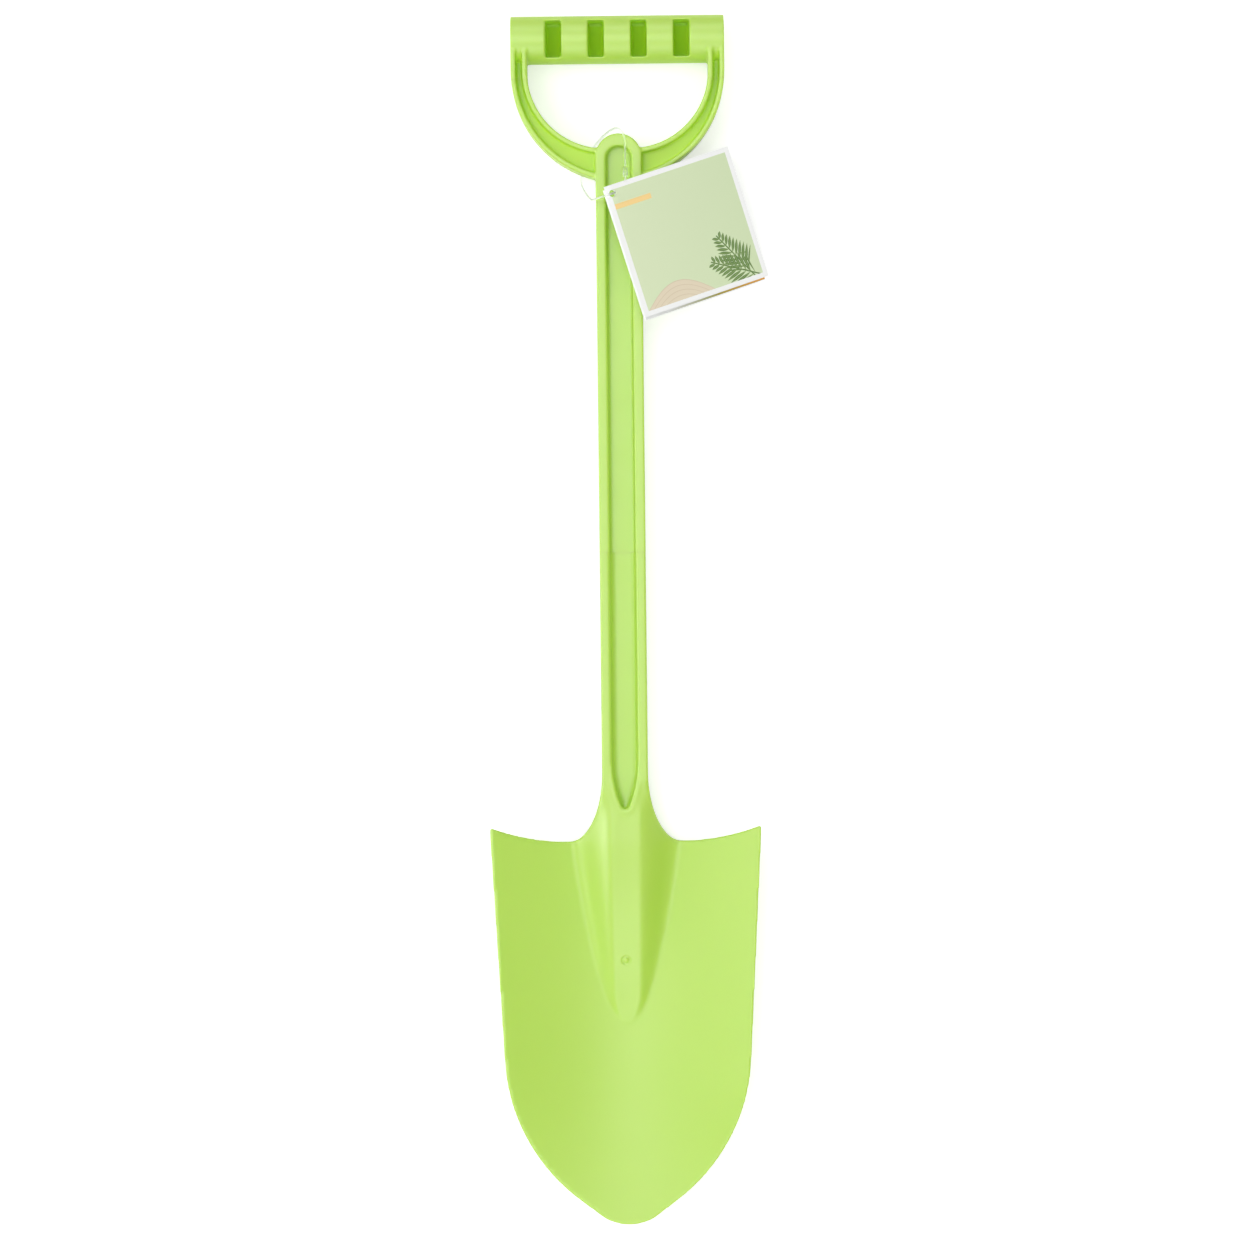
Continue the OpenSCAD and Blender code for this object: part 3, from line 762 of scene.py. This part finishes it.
# %% The moulding's pieces on the shovel
moulding = [moulded_blade, moulded_shaft, moulded_yoke, moulded_grip]
for piece in moulding:
    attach(piece, "shovel")
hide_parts("blade", "socket")
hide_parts("shaft")
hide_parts("left_arm", "right_arm")
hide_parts("grip")

# %% [markdown]
# ## The lock of the loop
# The filament's two ends meet in a moulded lock: a small barrel with round ends and a collar
# in the middle. Half of its outline, drawn as a row of edges and spun once round, is the way
# to make any turned shape.

# %% Lock, as pairs of a radius and a distance along it
LOCK_PROFILE = [(0, 0.15), (0.6, 0.15), (0.95, 0.3), (1.05, 0.7), (1.05, 1.9), (1.2, 2.05),
                (1.2, 2.95), (1.05, 3.1), (1.05, 4.3), (0.95, 4.7), (0.6, 4.85), (0, 4.85)]

bm = bmesh.new()
last = bm.verts.new((*LOCK_PROFILE[0], 0))
for radius, along in LOCK_PROFILE[1:]:
    last = bmesh.ops.extrude_vert_indiv(bm, verts=[last])["verts"][0]
    last.co = (radius, along, 0)
bmesh.ops.spin(bm, geom=bm.verts[:] + bm.edges[:], cent=(0, 0, 0), axis=(0, 1, 0), angle=2 * pi,
               steps=32, use_merge=True, use_duplicate=False)
bmesh.ops.translate(bm, vec=LOCK_LOW, verts=bm.verts)
lock = finished(bm, "filament_lock")
smoothed(lock)
report(lock)

# %% [markdown]
# ## The card tag
# The tag is one strip of card, folded once. Its two leaves are flat in the CAD model and meet
# nothing at the fold. Here the back leaf is a grid whose left edge is spun half round the hinge
# line, so the card turns over in one piece, and Solidify gives it the thickness of card. The
# front leaf stands on the end of that fold and is crowned a little, as a sprung card is.

# %% Where the tag hangs
TAG_W, LEAF_T, FOLD_GAP = 65, 0.5, 0.5
HOLE_D = 3.5
FOLD_X = -3.2
HINGE_Z = LEAF_T + FOLD_GAP / 2
LEAF_OPEN = radians(5)
FRONT_TOP, BACK_TOP = 4.1, 2.6
FRONT_LOW, BACK_LOW = FRONT_TOP - TAG_W, BACK_TOP - TAG_W
CROWN = 0.25
LEAF_GRID, FOLD_STEPS, PUNCH_L = 26, 14, 4

swing, fold = (next(j for j in frame["joints"] if j["name"] == name)
               for name in ("tag_swing", "leaf_fold"))
tag_normal = Vector(swing["axis"])
tag_up = -Vector(fold["axis"])
tag_turn = Matrix((tag_up.cross(tag_normal), tag_up, tag_normal)).transposed().to_4x4()
TAG_PLACE = Matrix.Translation(Vector(swing["pos_m"]) / MM) @ tag_turn
LEAF_PLACE = TAG_PLACE @ Matrix.Translation((FOLD_X, 0, HINGE_Z)) @ Matrix.Rotation(-LEAF_OPEN, 4, "Y")
LEAF_PLACE = LEAF_PLACE @ Matrix.Translation((-FOLD_X, 0, -HINGE_Z))
print("hole at", [round(c, 1) for c in TAG_PLACE.translation])

# %% Leaves
def leaf(name, low, level, place, spine, crown):
    """One leaf of the card, with its punched hole at the origin of the tag."""
    bm = bmesh.new()
    bmesh.ops.create_grid(bm, x_segments=LEAF_GRID, y_segments=LEAF_GRID, size=TAG_W / 2)
    bmesh.ops.translate(bm, vec=(FOLD_X + TAG_W / 2, low + TAG_W / 2, level), verts=bm.verts)
    for v in bm.verts:
        share = (v.co.x - FOLD_X) / TAG_W
        v.co.z += crown * 4 * share * (1 - share)
    if spine:
        edge = [e for e in bm.edges if all(abs(v.co.x - FOLD_X) < 1e-3 for v in e.verts)]
        bmesh.ops.spin(bm, geom=edge, cent=(FOLD_X, 0, HINGE_Z), axis=(0, 1, 0),
                       angle=pi + LEAF_OPEN, steps=FOLD_STEPS, use_duplicate=False)
    bmesh.ops.transform(bm, matrix=place, verts=bm.verts)
    piece = finished(bm, name)
    wall = piece.modifiers.new("wall", "SOLIDIFY")
    wall.thickness = LEAF_T * MM
    wall.offset = 0
    wall.use_even_offset = True
    bm = bmesh.new()
    bmesh.ops.create_cone(bm, cap_ends=True, segments=48, radius1=HOLE_D / 2, radius2=HOLE_D / 2,
                          depth=PUNCH_L)
    bmesh.ops.transform(bm, matrix=TAG_PLACE, verts=bm.verts)
    return combined(piece, [finished(bm, "punch")], "DIFFERENCE")


back_leaf = leaf("card_back_leaf", BACK_LOW, LEAF_T / 2, TAG_PLACE, True, 0)
front_leaf = leaf("card_front_leaf", FRONT_LOW, HINGE_Z + FOLD_GAP / 2 + LEAF_T / 2, LEAF_PLACE,
                  False, CROWN)
for piece in (back_leaf, front_leaf):
    report(piece)

# %% [markdown]
# A print follows the card, so each leaf gets its own UV map, in shares of its width and height
# from its lower left corner. Faces that look out of the front, out of the back and along the
# card are told apart by their normals, so each can have its own print.

# %% UV map and faces of a leaf
def mapped(piece, place, low):
    """Gives the leaf its UV map. Faces get slot 0 in front, slot 1 at the back and slot 2 elsewhere."""
    to_leaf = place.inverted()
    turn = to_leaf.to_3x3()
    mesh = piece.data
    layer = mesh.uv_layers.new(name="print")
    for face in mesh.polygons:
        outward = (turn @ face.normal).z
        centre = to_leaf @ (face.center / MM)
        flat = centre.x > FOLD_X - 1e-3
        face.material_index = 0 if flat and outward > 0.9 else 1 if flat and outward < -0.9 else 2
        for loop in face.loop_indices:
            at = to_leaf @ (mesh.vertices[mesh.loops[loop].vertex_index].co / MM)
            layer.data[loop].uv = ((at.x - FOLD_X) / TAG_W, (at.y - low) / TAG_W)
    print(piece.name, "faces in front:", sum(f.material_index == 0 for f in mesh.polygons))


mapped(back_leaf, TAG_PLACE, BACK_LOW)
mapped(front_leaf, LEAF_PLACE, FRONT_LOW)

# %% The tag and its loop on their bodies
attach(back_leaf, "hang_tag")
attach(front_leaf, "front_leaf")
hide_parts("tag_back_leaf")
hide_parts("tag_front_leaf")
for piece, node in ((filament, "tag_loop"), (lock, "loop_lock")):
    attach(piece, "shovel")
    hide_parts(node)

# %% [markdown]
# ## Node helper
# Each material below is a small formula made of nodes. This helper adds a node, feeds its
# sockets with numbers or with other nodes' outputs, and gives back its output, so that the
# formulas can be written much as on paper.

# %% Material helper
class Finish:
    """A node material, with short ways to add and join its nodes."""

    def __init__(self, name):
        self.data = bpy.data.materials.new(name)
        self.data.use_nodes = True
        self.nodes = self.data.node_tree.nodes
        self.shader = self.nodes["Principled BSDF"]

    def feed(self, socket, value):
        if isinstance(value, bpy.types.NodeSocket):
            self.data.node_tree.links.new(value, socket)
        else:
            socket.default_value = value

    def set(self, **values):
        """Sets the shader's sockets, named with _ for a space."""
        for name, value in values.items():
            self.feed(self.shader.inputs[name.replace("_", " ")], value)

    def calc(self, operation, *values):
        node = self.nodes.new("ShaderNodeMath")
        node.operation = operation
        for socket, value in zip(node.inputs, values):
            self.feed(socket, value)
        return node.outputs[0]

    def blend(self, share, below, above):
        """Gives the colour below where the share is 0, and the colour above where it is 1."""
        node = self.nodes.new("ShaderNodeMix")
        node.data_type = "RGBA"
        for index, value in ((0, share), (6, below), (7, above)):
            self.feed(node.inputs[index], value)
        return node.outputs[2]

    def spread(self, value, low, high, from_low=0, from_high=1):
        """Stretches a value's range onto the range from low to high."""
        node = self.nodes.new("ShaderNodeMapRange")
        for socket, number in zip(node.inputs, (value, from_low, from_high, low, high)):
            self.feed(socket, number)
        return node.outputs[0]

    def noise(self, scale, detail, roughness=0.5):
        place = self.nodes.new("ShaderNodeTexCoord")
        cloud = self.nodes.new("ShaderNodeTexNoise")
        for name, value in (("Vector", place.outputs["Object"]), ("Scale", scale), ("Detail", detail),
                            ("Roughness", roughness)):
            self.feed(cloud.inputs[name], value)
        return cloud.outputs["Fac"]

    def kept(self, name):
        """A number that the mesh keeps at each vertex, or 0 on a mesh without it."""
        node = self.nodes.new("ShaderNodeAttribute")
        node.attribute_name = name
        return node.outputs["Fac"]

    def bump(self, height, strength, distance):
        node = self.nodes.new("ShaderNodeBump")
        for name, value in (("Height", height), ("Strength", strength), ("Distance", distance)):
            self.feed(node.inputs[name], value)
        self.set(Normal=node.outputs[0])


def colour(red, green, blue):
    """A colour given as the eye reads it, from 0 to 255, as the linear values that shaders use."""
    share = [c / 255 for c in (red, green, blue)]
    return tuple(c / 12.92 if c <= 0.04045 else ((c + 0.055) / 1.055) ** 2.4 for c in share) + (1,)


# %% [markdown]
# ## The plastic
# Lime green polypropylene is slightly cloudy, so a little light runs under its surface, and
# its satin sheen comes from a fine spark texture in the mould. Faint handling marks and soft
# variation in the sheen keep it from looking like paint. In the pockets and grooves the green
# is painted deeper and more saturated, as painted shade, and the roughness rises there.

# %% Lime green plastic
plastic = Finish("lime_plastic")
LIME, DEEP_LIME = (0.480, 0.725, 0.088, 1), (0.462, 0.710, 0.080, 1)
# The deeper green of the painted shade in the pockets and grooves.
PAINTED_SHADE_LIME = (0.56, 0.84, 0.002, 1)
plastic.set(IOR=1.49, Specular_IOR_Level=0.5, Subsurface_Weight=0.5, Subsurface_Scale=0.002,
            Subsurface_Radius=(0.8, 1.0, 0.3))
# Painted shade: where the mesh keeps a share of it, the colour turns to the deeper green and the
# roughness rises.
deep = plastic.kept("painted_shade_share")
skin_colour = plastic.blend(plastic.noise(22, 3), DEEP_LIME, LIME)
plastic.set(Base_Color=plastic.blend(deep, skin_colour, PAINTED_SHADE_LIME))
sheen = plastic.spread(plastic.noise(60, 4, 0.6), 0.42, 0.52)
plastic.set(Roughness=plastic.calc("MAXIMUM", sheen, deep))
plastic.bump(plastic.noise(1600, 2), 0.22, 0.00006)
for piece in moulding:
    piece.data.materials.clear()
    piece.data.materials.append(plastic.data)

# %% [markdown]
# ## The clear plastic
# The filament and its lock are clear nylon or polypropylene. Transmission shows what is behind
# them, bent a little at their edges. The roughness makes them slightly milky, without hard
# sparks, and a light grey keeps them visible against a white ground.

# %% Clear plastic
CLEAR_GREY = (0.84, 0.86, 0.86, 1)
clear = Finish("clear_plastic")
clear.set(Base_Color=CLEAR_GREY, Transmission_Weight=1.0, IOR=1.46)
clear.set(Roughness=clear.spread(clear.noise(900, 2), 0.28, 0.4))
clear.bump(clear.noise(2500, 2), 0.15, 0.00003)
for piece in (filament, lock):
    piece.data.materials.append(clear.data)

# %% [markdown]
# ## The card
# Tag card has a white core, fine fibres and a thin coating with a low sheen. The print is a
# generic beach design of our own: a pale green field in a white border, a sandy dune, a sprig
# of leaves and a narrow band. Each motif is a short formula on the leaf's UV map, in
# millimetres from its lower left corner.

# %% Plain white card
WHITE_CARD = colour(243, 244, 242)


def card_finish(name):
    """Card with its fibres and coating, still without a colour."""
    card = Finish(name)
    card.set(IOR=1.45, Specular_IOR_Level=0.4)
    card.set(Roughness=card.spread(card.noise(300, 4, 0.6), 0.42, 0.55))
    card.bump(card.noise(2600, 4, 0.7), 0.12, 0.00005)
    return card


card_core = card_finish("card_core")
card_core.set(Base_Color=card_core.blend(card_core.noise(1500, 3), colour(238, 238, 233), WHITE_CARD))

# %% Places on the leaf
def leaf_place(card, left=0, low=0, angle=0):
    """Distances in millimetres along and across a line that starts at (left, low) and rises by angle."""
    uv = card.nodes.new("ShaderNodeUVMap")
    uv.uv_map = "print"
    size = card.nodes.new("ShaderNodeVectorMath")
    size.operation = "SCALE"
    card.feed(size.inputs[0], uv.outputs[0])
    card.feed(size.inputs["Scale"], TAG_W)
    turn = card.nodes.new("ShaderNodeMapping")
    turn.vector_type = "TEXTURE"
    turn.inputs["Location"].default_value = (left, low, 0)
    turn.inputs["Rotation"].default_value = (0, 0, angle)
    card.feed(turn.inputs["Vector"], size.outputs[0])
    split = card.nodes.new("ShaderNodeSeparateXYZ")
    card.feed(split.inputs[0], turn.outputs[0])
    return split.outputs[0], split.outputs[1]


def inside(card, value, low, high):
    """1 where the value lies between low and high."""
    above = card.calc("GREATER_THAN", value, low)
    return card.calc("MULTIPLY", above, card.calc("LESS_THAN", value, high))


# %% Sprig of leaves
SPRIG_L, LEAFLET_PITCH, LEAFLET_W, LEAFLET_SLANT = 23, 2.3, 0.95, 0.85
ROOT_REACH, END_REACH = 9.5, 2.5
STEM_HALF, STEM_L, VEIN_HALF = 0.3, 9, 0.16


def sprig(card, left, low, angle):
    """The share of dark ink of a stem with paired leaflets, and of its lighter veins."""
    along, across = leaf_place(card, left, low, angle)
    out = card.calc("ABSOLUTE", across)
    root = card.calc("SUBTRACT", along, card.calc("MULTIPLY", out, LEAFLET_SLANT))
    reach = card.spread(root, ROOT_REACH, END_REACH, 0, SPRIG_L)
    share = card.calc("MINIMUM", card.calc("DIVIDE", out, reach), 1)
    half = card.calc("MULTIPLY", card.calc("SINE", card.calc("MULTIPLY", share, pi)), LEAFLET_W)
    cell = card.calc("SUBTRACT", card.calc("MODULO", root, LEAFLET_PITCH), LEAFLET_PITCH / 2)
    off = card.calc("ABSOLUTE", cell)
    leaflet = card.calc("MULTIPLY", card.calc("LESS_THAN", off, half), inside(card, root, 1, SPRIG_L))
    stem = card.calc("MULTIPLY", card.calc("LESS_THAN", out, STEM_HALF),
                     inside(card, along, -STEM_L, SPRIG_L + 1))
    vein = card.calc("LESS_THAN", off, VEIN_HALF)
    return card.calc("MAXIMUM", leaflet, stem), card.calc("MULTIPLY", leaflet, vein)


# %% Inks and places of the front print
BORDER = 2.4
FIELD, FIELD_LIGHT = colour(206, 222, 179), colour(214, 227, 187)
LEAF_INK, VEIN_INK = colour(96, 129, 66), colour(138, 164, 98)
SAND, SAND_LINE = colour(224, 211, 184), colour(214, 198, 168)
BAND = colour(244, 211, 138)
DUNE_W, DUNE_H, RIPPLE, RIPPLE_W = 40, 12, 2.4, 0.35
BAND_W, BAND_LOW, BAND_HIGH = 21, 53, 55.6
SPRIGS = ((57, 5, radians(118)), (60, 3, radians(150)))


# %% Front print
def border_share(card, along, up):
    """1 on the printed field and 0 on the white border."""
    nearest = [card.calc("MINIMUM", value, card.calc("SUBTRACT", TAG_W, value)) for value in (along, up)]
    return card.calc("GREATER_THAN", card.calc("MINIMUM", *nearest), BORDER)


def front_print():
    card = card_finish("card_front_print")
    along, up = leaf_place(card)
    ink = card.blend(card.spread(along, 0, 1, 0, TAG_W), FIELD_LIGHT, FIELD)
    hump = card.calc("SINE", card.calc("MULTIPLY", card.calc("MINIMUM", along, DUNE_W), pi / DUNE_W))
    depth = card.calc("SUBTRACT", card.calc("MULTIPLY", hump, DUNE_H), up)
    ripple = card.calc("LESS_THAN", card.calc("MODULO", depth, RIPPLE), RIPPLE_W)
    ink = card.blend(card.calc("GREATER_THAN", depth, 0), ink, card.blend(ripple, SAND, SAND_LINE))
    band = card.calc("MULTIPLY", inside(card, along, 0, BAND_W), inside(card, up, BAND_LOW, BAND_HIGH))
    ink = card.blend(band, ink, BAND)
    for left, low, angle in SPRIGS:
        leaves, veins = sprig(card, left, low, angle)
        ink = card.blend(leaves, ink, card.blend(veins, LEAF_INK, VEIN_INK))
    card.set(Base_Color=card.blend(border_share(card, along, up), WHITE_CARD, ink))
    return card.data


# %% Inner and back prints
# The printed line is orange; its olive part is painted shade.
PAINTED_SHADE_OLIVE, ORANGE = colour(176, 178, 84), colour(243, 176, 72)
LINE_LOW, LINE_HIGH = 0.25, 1.15
LINE_FADE, LINE_TURN = (12, 40), (34, 60)


def inner_print():
    """The inside of the back leaf: white, with a thin orange line at its lower edge, whose olive part is
    painted shade.
    """
    card = card_finish("card_inner_print")
    along, up = leaf_place(card)
    line = card.blend(card.spread(along, 0, 1, *LINE_TURN), PAINTED_SHADE_OLIVE, ORANGE)
    strength = card.calc("MULTIPLY", inside(card, up, LINE_LOW, LINE_HIGH),
                         card.spread(along, 0, 1, *LINE_FADE))
    card.set(Base_Color=card.blend(strength, WHITE_CARD, line))
    return card.data


def back_print():
    """The outside of the back leaf: the same field and border, bare."""
    card = card_finish("card_back_print")
    along, up = leaf_place(card)
    card.set(Base_Color=card.blend(border_share(card, along, up), WHITE_CARD, FIELD))
    return card.data


for piece, finishes in ((front_leaf, (front_print(), card_core.data, card_core.data)),
                        (back_leaf, (inner_print(), back_print(), card_core.data))):
    piece.data.materials.clear()
    for finish in finishes:
        piece.data.materials.append(finish)

# %% [markdown]
# ## Floor and light
# The photograph has a pure white ground and a broad, soft light with more from the upper left.
# The floor adds glow only for rays that show it, so it reads white and still keeps a shadow.
# The world and three soft boxes light the colours. Four more give only the pale veil of their
# reflection, which a satin plastic shows where it faces them, so they leave the colours alone.

# %% Floor
FLOOR_HALF, FLOOR_WHITE, FLOOR_GLOW = 3000, 0.85, 0.5
bm = bmesh.new()
bmesh.ops.create_grid(bm, x_segments=1, y_segments=1, size=FLOOR_HALF)
floor = finished(bm, "floor")
ground = Finish("floor_white")
ground.nodes.remove(ground.shader)
paint = ground.nodes.new("ShaderNodeBsdfDiffuse")
paint.inputs["Color"].default_value = (FLOOR_WHITE, FLOOR_WHITE, FLOOR_WHITE, 1)
glow = ground.nodes.new("ShaderNodeEmission")
glow.inputs["Strength"].default_value = FLOOR_GLOW
both = ground.nodes.new("ShaderNodeAddShader")
pick = ground.nodes.new("ShaderNodeMixShader")
rays = ground.nodes.new("ShaderNodeLightPath").outputs
seen = ground.calc("MAXIMUM", ground.calc("MAXIMUM", rays["Is Camera Ray"], rays["Is Glossy Ray"]),
                   rays["Is Transmission Ray"])
for socket, value in ((both.inputs[0], paint.outputs[0]), (both.inputs[1], glow.outputs[0]),
                      (pick.inputs[0], seen), (pick.inputs[1], paint.outputs[0]),
                      (pick.inputs[2], both.outputs[0]),
                      (ground.nodes["Material Output"].inputs["Surface"], pick.outputs[0])):
    ground.feed(socket, value)
floor.data.materials.append(ground.data)
print("floor %.0f mm wide" % (2 * FLOOR_HALF))

# %% Light
WORLD_GLOW = 0.72
world = bpy.data.worlds.new("studio")
world.use_nodes = True
background = world.node_tree.nodes["Background"].inputs
background["Color"].default_value = (1, 1, 1, 1)
background["Strength"].default_value = WORLD_GLOW
scene.world = world


def lamp(name, location, size, power):
    """A square soft box that faces the shovel's middle, with its place in metres."""
    light = bpy.data.lights.new(name, "AREA")
    light.size = size
    light.energy = power
    holder = bpy.data.objects.new(name, light)
    holder.location = location
    holder.rotation_euler = (-Vector(location)).to_track_quat("-Z", "Y").to_euler()
    scene.collection.objects.link(holder)
    return holder


# %% Soft boxes, each with its place and size in metres and its power in watts
COLOUR_BOXES = [
    ("left_softbox", (-1.3, 0.6, 2.4), 1.6, 18),
    ("low_softbox", (-2.4, 0.6, 1.2), 1.6, 4),
    ("near_softbox", (0, -2.4, 1.6), 1.6, 15),
]
SHEEN_BOXES = [
    ("sheen_above", (-0.2, 0.45, 3.0), 1.5, 75),
    ("sheen_below", (0, -2.0, 2.4), 1.2, 55),
    ("sheen_beyond", (0, 2.6, 1.8), 1.4, 50),
    ("sheen_left", (-3.0, 0, 0.9), 2.0, 140),
]
for box in COLOUR_BOXES:
    lamp(*box)
for box in SHEEN_BOXES:
    lamp(*box).visible_diffuse = False
print("soft boxes:", len(COLOUR_BOXES) + len(SHEEN_BOXES))
